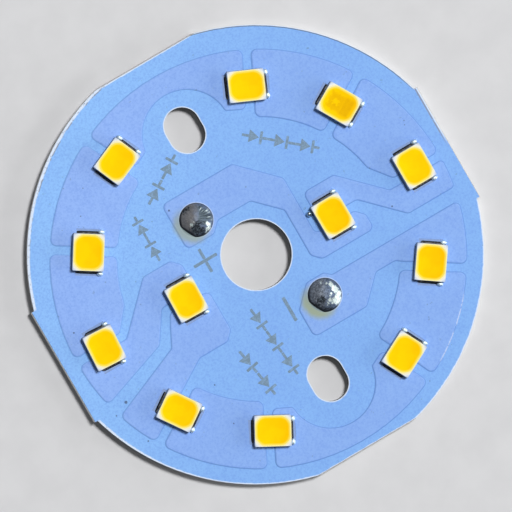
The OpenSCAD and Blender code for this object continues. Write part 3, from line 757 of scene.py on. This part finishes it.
filling = finish("phosphor silicone", phosphor_silicone)
for k in range(LED_COUNT):
    pool = bmesh.new()
    window_plate(pool, CUP_FLOOR, CUP_FLOOR_Z)
    window_plate(pool, WINDOW, LED_H)
    lip = [v for v in pool.verts if v.co.z > CUP_FLOOR_Z + 0.1]
    bmesh.ops.scale(pool, vec=(LIP_LAP, LIP_LAP, 1), verts=lip)
    bmesh.ops.translate(pool, vec=(0, 0, LIP_RISE), verts=lip)
    bmesh.ops.bridge_loops(pool, edges=[e for e in pool.edges if e.is_boundary])
    bmesh.ops.recalc_face_normals(pool, faces=pool.faces)
    top = max(pool.faces, key=lambda f: min(v.co.z for v in f.verts))
    reached, sunk = 1.0, 0.0
    for reach, sink in SINK:
        top = bmesh.ops.extrude_discrete_faces(pool, faces=[top])["faces"][0]
        bmesh.ops.scale(pool, vec=(reach / reached, reach / reached, 1), verts=top.verts)
        bmesh.ops.translate(pool, vec=(0, 0, sunk - sink), verts=top.verts)
        reached, sunk = reach, sink
    for face in pool.faces:
        face.smooth = face.normal.z > 0.5
    for edge in pool.edges:
        edge.smooth = len({face.smooth for face in edge.link_faces}) == 1
    deep = pool.verts.layers.float.new("deep")
    thin = pool.verts.layers.float.new("thin")
    for vert in pool.verts:
        spot = led_place(k).to_3x3() @ vert.co
        # Painted light: the yellow deepens across each LED towards one side
        vert[deep] = DEPTHS[k] + LIGHT_DEEPENING * toward(spot.x, spot.y, DEEP_LIGHT_SIDE)
        vert[thin] = 1.0 if k == THIN_LED else 0.0
    bmesh.ops.transform(pool, matrix=led_place(k), verts=pool.verts)
    map_window(pool, led_place(k))
    fill = made(f"led_{k + 1}_filling", pool, filling)
    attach(fill, "root")
    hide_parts(f"led_{k + 1}_phosphor")

# LED solder joints.
# Paste solder that melted under the leads and drew up the end of each tab in a hollow fillet. The fillet is
# coloured near black as painted shade for the dark ends, mottled, and bright beads of surplus stand only at
# the corners that face the lights, in a pale cyan-white that is partly painted highlight.

TAB_END = 1.75
JOINT_STARTS = {1: 0.34, -1: 0.74}
JOINT_END = 1.86
JOINT_HALF = 1.05
JOINT_STEPS = 12
TURN_ARM = 2
FILLET_TOP = 0.17
FILLET_R = 0.20
PAD_HALF = 1.07
COPPER_Z = COPPER_TOP - LED_FOOT
MASK_Z = MASK_HIGH - LED_FOOT
# Side of the board towards the lights: beads are put only at corners facing it, so that they catch glints
GLINT_SIDE = -22
SURPLUS_SIZE = (0.29, 0.20, 0.22)
SURPLUS_OFF = (0.05, 0.07, 0.06)
SURPLUS_AND_GLINT = (0.80, 0.94, 1.0, 1)
FILLET_SHADE = (0.075, 0.08, 0.085, 1)
FILLET_DEEP_SHADE = (0.030, 0.031, 0.034, 1)


def joint_solder(place):
    clean = place.node("ShaderNodeAttribute", {"attribute_name": "clean"}, {}, output="Fac")
    frost = place.cloud(9.0, 3, 0.6)
    # Painted shade on the fillets, and painted highlight in the pale colour of the beads
    return {
        "Base Color": clean.mix(frost.ramp(0.64, 0.44).mix(FILLET_SHADE, FILLET_DEEP_SHADE), SURPLUS_AND_GLINT),
        "Metallic": 1.0,
        "Roughness": 0.44 + 0.14 * frost + 0.06 * clean,
        "Normal": (0.006 * frost).relief(),
    }


def fillet(joint, start, half):
    """Solder under one tab and up its end, drawn in at both corners"""
    hollow = []
    for step in range(7):
        bend = math.radians(15 * step)
        out = TAB_END + (JOINT_END - TAB_END) * (1 - math.sin(bend))
        hollow.append((out, FILLET_TOP - FILLET_R * math.cos(bend)))
    outline = [(start, 0.0), (start, COPPER_Z), (JOINT_END, COPPER_Z), *hollow, (TAB_END, 0.0)]
    face = joint.faces.new([joint.verts.new((-half, y, z)) for y, z in outline])
    for step in range(JOINT_STEPS):
        face = bmesh.ops.extrude_discrete_faces(joint, faces=[face])["faces"][0]
        bmesh.ops.translate(joint, vec=(2 * half / JOINT_STEPS, 0, 0), verts=face.verts)
    bmesh.ops.holes_fill(joint, edges=[e for e in joint.edges if e.is_boundary])
    for vert in joint.verts:
        full = math.sqrt(max(0.0, 1 - (abs(vert.co.x) / half) ** 8))
        if vert.co.y > TAB_END - 0.001:
            vert.co.y = TAB_END + (vert.co.y - TAB_END) * (0.6 + 0.4 * full)
            vert.co.z = COPPER_Z + (vert.co.z - COPPER_Z) * (0.4 + 0.6 * full)
    bmesh.ops.recalc_face_normals(joint, faces=joint.faces)


def surplus(joint, spot, clean):
    """A bright bead that rests on the copper of its pad, or on the mask beside it"""
    size = Matrix.Translation(spot) @ Matrix.Diagonal((*SURPLUS_SIZE, 1))
    ball = bmesh.ops.create_icosphere(joint, subdivisions=3, radius=1, matrix=size)
    for vert in ball["verts"]:
        vert.co.z = max(vert.co.z, COPPER_Z if abs(vert.co.x) < PAD_HALF else MASK_Z)
        vert[clean] = 1.0


joints = bmesh.new()
for k in range(LED_COUNT):
    angle, turn, aside = LEDS[k][1:4]
    half = JOINT_HALF - TURN_ARM * math.sin(math.radians(abs(turn)))
    for side, start in JOINT_STARTS.items():
        joint = bmesh.new()
        clean = joint.verts.layers.float.new("clean")
        fillet(joint, start - side * aside, half)
        for corner in (-1, 1):
            spot = Vector((corner * (half + SURPLUS_OFF[0]), TAB_END + SURPLUS_OFF[1], SURPLUS_OFF[2]))
            if toward(spot.x, side * spot.y, GLINT_SIDE - angle - turn) >= 0:
                surplus(joint, spot, clean)
        if side < 0:
            bmesh.ops.scale(joint, vec=(1, -1, 1), verts=joint.verts)
            bmesh.ops.reverse_faces(joint, faces=joint.faces)
        bmesh.ops.transform(joint, matrix=led_place(k), verts=joint.verts)
        part = bpy.data.meshes.new("joint")
        joint.to_mesh(part)
        joint.free()
        joints.from_mesh(part)
        bpy.data.meshes.remove(part)
for face in joints.faces:
    face.smooth = True
for edge in creases(joints, 50):
    edge.smooth = False
solder_joints = made("led_solder_fillets", joints, finish("flowed solder", joint_solder))
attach(solder_joints, "root")
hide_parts("led_solder_joints")

# Solder on the wire pads.
# Solder melted on each pad with an iron. It set as a low dome, dull and wrinkled where it cooled last. Its
# colour carries painted highlights in bright patches, painted dark reflections in dark patches, and painted
# shade round its foot. Its edge drew back from the flux on one side.

DOME_H = 0.6
BALL_R = (DOME_R**2 + DOME_H**2) / (2 * DOME_H)
BALL_MIDDLE = Vector((0, 0, DOME_H - BALL_R))
DOME_RINGS = 36
DOME_SPOKES = 112
DOME_AXES = -30
WRINKLES = [(0.045, 1.1), (0.018, 3.1)]
STILL_FOOT = 0.2
DRAWN_TO = 1.26
DRAWN_SHARE = 0.75
DOME_HIGHLIGHT = (0.74, 0.84, 0.81, 1)
DOME_SHADED = (0.27, 0.37, 0.42, 1)
DOME_COOL = (0.145, 0.195, 0.290, 1)
DOME_SLATE = (0.125, 0.165, 0.20, 1)
DOME_DARK_SLATE = (0.045, 0.060, 0.070, 1)
DOME_OXIDE_AND_SHADE = (0.022, 0.026, 0.034, 1)

# Skin of each dome, how mottled it is, and its patches of each kind, the bright ones painted highlights and
# the dark ones painted dark reflections: their middles and reaches
PLUS_SKIN = {
    "skin": (0.216, 0.215, 0.222, 1),
    "mottled": 0.25,
    "bright": [
        (1.00, -0.36, 0.22), (1.06, -0.72, 0.24), (0.90, -1.10, 0.13), (-0.47, -0.40, 0.10),
        (-0.26, -0.16, 0.06),
    ],
    "dark_reflections": [
        (0.0, -0.80, 0.50), (0.10, -0.28, 0.22), (0.5, -1.05, 0.35), (-0.55, -1.10, 0.20),
        (-1.30, 0.60, 0.13), (-1.10, 0.75, 0.12), (-0.90, 0.88, 0.10), (-0.68, 1.02, 0.08),
    ],
    "feathered": [
        (0.62, 0.50, 0.55), (0.30, 1.05, 0.25), (1.1, 0.25, 0.3), (0.40, 0.10, 0.35),
        (0.70, -0.15, 0.30),
    ],
}
MINUS_SKIN = {
    "skin": (0.208, 0.236, 0.282, 1),
    "mottled": 0.60,
    "bright": [
        (1.08, -0.42, 0.44), (0.90, 0.52, 0.34), (1.18, 0.10, 0.28), (0.50, 0.92, 0.26),
        (0.15, 1.02, 0.08), (-0.38, 1.02, 0.07), (0.53, 0.14, 0.07), (0.50, -0.06, 0.06),
        (0.42, -0.26, 0.06), (0.36, -0.46, 0.10), (0.25, -0.68, 0.07), (0.15, -0.82, 0.05),
        (0.62, -0.72, 0.10),
    ],
    "dark_reflections": [
        (-0.28, -0.42, 0.30), (-0.62, -0.40, 0.12), (-0.85, -1.10, 0.22), (-0.45, -1.28, 0.28),
        (0.0, -1.38, 0.28), (0.5, -1.25, 0.25), (-0.58, -0.86, 0.20),
    ],
    "feathered": [],
}


def set_solder(pad, skin, mottled, bright, dark_reflections, feathered):
    """Solder with its patches, which are placed on axes through the pad that are turned from the board's"""

    def paint(place):
        x, y = place.away_from(*pad).parts()[:2]
        across = toward(x, y, DOME_AXES)
        along = toward(x, y, DOME_AXES + 90)
        ripple = place.cloud(2.6, 3, 0.6)
        crumple = place.cloud(6.5, 4, 0.65, 0.6)

        def near(patches):
            gap = 9.0
            for patch_x, patch_y, size in patches:
                dx, dy = across - patch_x, along - patch_y
                gap = ((dx * dx + dy * dy).root() - size).least(gap)
            return gap + 0.55 * ripple + 0.55 * crumple - 0.55

        # Skin, feathers of crystals with painted highlights at their tips, painted dark reflections and
        # painted highlights, one over the other
        colour = (across + 0.8 * ripple - 0.4).ramp(-0.5, 0.5).mix(skin, DOME_COOL)
        colour = (1 - mottled + mottled * crumple.ramp(0.38, 0.60)).mix(DOME_OXIDE_AND_SHADE, colour)
        spread = (across * across + along * along).root()
        spoke = place.maths("ARCTAN2", along - 0.1, across + 0.2)
        fan = place.node("ShaderNodeCombineXYZ", {}, {0: 0.9 * spread, 1: 5.0 * spoke})
        quill = fan.cloud(1.1, 3, 0.55, 0.35)
        feather = near(feathered).ramp(0.12, -0.2)
        colour = feather.mix(colour, quill.ramp(0.36, 0.54).mix(DOME_DARK_SLATE, DOME_SLATE))
        colour = (feather * quill.ramp(0.54, 0.62) * spread.ramp(0.75, 1.05)).mix(colour, DOME_HIGHLIGHT)
        dark = near(dark_reflections).ramp(0.16, -0.12)
        colour = dark.mix(colour, crumple.ramp(0.44, 0.70).mix(DOME_OXIDE_AND_SHADE, DOME_SLATE))
        clean = near(bright).ramp(0.05, -0.05)
        colour = clean.mix(colour, crumple.ramp(0.32, 0.48).mix(DOME_SHADED, DOME_HIGHLIGHT))

        # Painted shade round the foot of the dome, darkest on the side away from the painted highlights
        back = toward(x, y, FLUX_SIDE)
        edge = spread.most(back + 0.18) + 0.10 * crumple
        away = back.ramp(-0.6, 1.0)
        foot = (edge + 0.10 * away).ramp(DOME_R - 0.08, DOME_R + 0.03)
        colour = ((0.45 + 0.5 * away) * foot).mix(colour, DOME_OXIDE_AND_SHADE)
        return {
            "Base Color": colour,
            "Metallic": 0.5,
            "Roughness": 0.60 - 0.26 * clean,
            "Specular IOR Level": 0.2,
            "Normal": (0.05 * ripple + 0.03 * crumple + 0.03 * quill * feather).relief(),
        }

    return paint


for name, node, pad, seed, finishes in [
    ("plus_pad_solder", "solder_dome_plus", PADS[0], 3.0, PLUS_SKIN),
    ("minus_pad_solder", "solder_dome_minus", PADS[1], 11.0, MINUS_SKIN),
]:
    drop = bmesh.new()
    crown = drop.verts.new((0, 0, DOME_H))
    bmesh.ops.spin(
        drop, geom=[crown], cent=BALL_MIDDLE, axis=(0, 1, 0),
        angle=math.asin(DOME_R / BALL_R), steps=DOME_RINGS,
    )
    rim = max(drop.verts, key=lambda v: v.co.x)
    foot = bmesh.ops.extrude_vert_indiv(drop, verts=[rim])["verts"]
    bmesh.ops.translate(drop, vec=(0, 0, COPPER_TOP - MASK_HIGH), verts=foot)
    bmesh.ops.spin(
        drop, geom=drop.verts[:] + drop.edges[:], cent=(0, 0, 0), axis=(0, 0, 1),
        angle=math.tau, steps=DOME_SPOKES, use_merge=True,
    )
    bmesh.ops.remove_doubles(drop, verts=drop.verts, dist=WELD)
    bmesh.ops.holes_fill(drop, edges=[e for e in drop.edges if e.is_boundary])
    bmesh.ops.recalc_face_normals(drop, faces=drop.faces)
    for vert in drop.verts:
        if vert.co.z > 0.001:
            sample = Vector((vert.co.x, vert.co.y, seed))
            swell = sum(depth * noise.noise(sample * fineness) for depth, fineness in WRINKLES)
            vert.co += (vert.co - BALL_MIDDLE).normalized() * swell * min(1.0, vert.co.z / STILL_FOOT)
    for vert in drop.verts:
        past = toward(vert.co.x, vert.co.y, FLUX_SIDE) - DRAWN_TO
        if past > 0:
            vert.co -= DRAWN_SHARE * past * heading(FLUX_SIDE)
    for face in drop.faces:
        face.smooth = True
    for edge in creases(drop, 40):
        edge.smooth = False
    bmesh.ops.translate(drop, vec=(*pad, MASK_HIGH), verts=drop.verts)
    dome = made(name, drop, finish(f"{name} metal", set_solder(pad, **finishes)))
    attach(dome, "root")
    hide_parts(node)

# Solder bead.
# A ball of paste that ran out from under the first LED and set against its side. It is drawn in by its own
# surface, so it is smooth and bright.

BEAD_R = 0.26
BEAD_STANDS = 0.85
BEAD_DENTS = 0.012
BEAD_FINENESS = 9
BEAD_BRIGHT = (0.62, 0.76, 0.82, 1)
BEAD_FILMED = (0.44, 0.54, 0.60, 1)


def bead_solder(place):
    film = place.cloud(6.0, 3)
    return {
        "Base Color": film.ramp(0.6, 0.4).mix(BEAD_BRIGHT, BEAD_FILMED),
        "Metallic": 1.0,
        "Roughness": 0.25 + 0.10 * film,
        "Normal": (0.003 * film).relief(),
    }


bead_low, bead_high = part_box("solder_bead")
bead_spot = Vector(((bead_low.x + bead_high.x) / 2, (bead_low.y + bead_high.y) / 2, bead_low.z)) / MM
ball = bmesh.new()
bmesh.ops.create_icosphere(ball, subdivisions=4, radius=BEAD_R)
bmesh.ops.translate(ball, vec=(0, 0, BEAD_STANDS * BEAD_R), verts=ball.verts)
bmesh.ops.bisect_plane(
    ball, geom=ball.verts[:] + ball.edges[:] + ball.faces[:],
    plane_co=(0, 0, 0), plane_no=(0, 0, -1), clear_outer=True,
)
bmesh.ops.holes_fill(ball, edges=[e for e in ball.edges if e.is_boundary])
for vert in ball.verts:
    if vert.co.z > 0.01:
        vert.co += vert.normal * BEAD_DENTS * noise.noise(vert.co * BEAD_FINENESS)
bmesh.ops.translate(ball, vec=bead_spot, verts=ball.verts)
bmesh.ops.recalc_face_normals(ball, faces=ball.faces)
for face in ball.faces:
    face.smooth = len(face.verts) == 3
bead = made("stray_solder_bead", ball, finish("bright solder bead", bead_solder))
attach(bead, "root")
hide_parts("solder_bead")

# Studio.
# A plain pale floor under the board, lit by a soft light high on one side, a wide low window beside it that
# catches the solder, and a weak light from the far side. The camera is held nearly square over the board,
# leaning a little to one side.

FLOOR_SIZE = 600
FLOOR_DROP = 0.02
FLOOR_GREY = (0.62, 0.62, 0.63, 1)
FLOOR_PALE = (0.66, 0.66, 0.67, 1)
ROOM = (0.55, 0.58, 0.62, 1)
ROOM_STRENGTH = 0.10
CAMERA_FROM = 145
CAMERA_LEAN = 6.5
CAMERA_AWAY = 600
CAMERA_UP = 59.85
AIM_HEIGHT = 1.13
AIM_OFF = (-0.5, -1.45)
PIXELS_PER_MM = 11.495
PICTURE = 512
SENSOR = 36


def floor_paper(place):
    fibre = place.cloud(0.4, 4)
    return {"Base Color": fibre.ramp(0.2, 0.8).mix(FLOOR_GREY, FLOOR_PALE), "Roughness": 0.8}


sheet = bmesh.new()
bmesh.ops.create_grid(sheet, x_segments=8, y_segments=8, size=FLOOR_SIZE)
bmesh.ops.translate(sheet, vec=(0, 0, -FLOOR_DROP), verts=sheet.verts)
floor = made("floor", sheet, finish("pale floor paper", floor_paper))


def raised_heading(degrees, height):
    return heading(degrees) * math.cos(math.radians(height)) + Vector((0, 0, math.sin(math.radians(height))))


def soft_light(name, side, height, away, size, watts):
    lamp = bpy.data.lights.new(name, "AREA")
    lamp.shape = "RECTANGLE"
    lamp.size, lamp.size_y = (length * MM for length in size)
    lamp.energy = watts
    spot = raised_heading(side, height)
    holder = bpy.data.objects.new(name, lamp)
    holder.location = spot * away * MM
    holder.rotation_euler = spot.to_track_quat("Z", "Y").to_euler()
    bpy.context.scene.collection.objects.link(holder)


soft_light("key light", side=20, height=68, away=1500, size=(290, 290), watts=19.75)
soft_light("window light", side=-35, height=18, away=1000, size=(900, 400), watts=4.6)
soft_light("side light", side=130, height=62, away=1000, size=(1200, 1200), watts=0.7)

world = bpy.data.worlds.new("studio")
world.use_nodes = True
room = world.node_tree.nodes["Background"].inputs
room["Color"].default_value = ROOM
room["Strength"].default_value = ROOM_STRENGTH
bpy.context.scene.world = world
bpy.context.scene.view_settings.view_transform = "Standard"

back = raised_heading(CAMERA_FROM, 90 - CAMERA_LEAN)
right = heading(CAMERA_UP).cross(back).normalized()
up = back.cross(right)
aim = Vector((0, 0, AIM_HEIGHT)) + (right * AIM_OFF[0] + up * AIM_OFF[1]) / PIXELS_PER_MM
lens = bpy.data.cameras.new("camera")
lens.sensor_width = SENSOR
lens.lens = SENSOR * CAMERA_AWAY * PIXELS_PER_MM / PICTURE
lens.clip_start, lens.clip_end = 0.01, 10
camera = bpy.data.objects.new("camera", lens)
turned = Matrix((right, up, back)).transposed().to_4x4()
camera.matrix_world = Matrix.Translation((aim + back * CAMERA_AWAY) * MM) @ turned
bpy.context.scene.collection.objects.link(camera)
bpy.context.scene.camera = camera
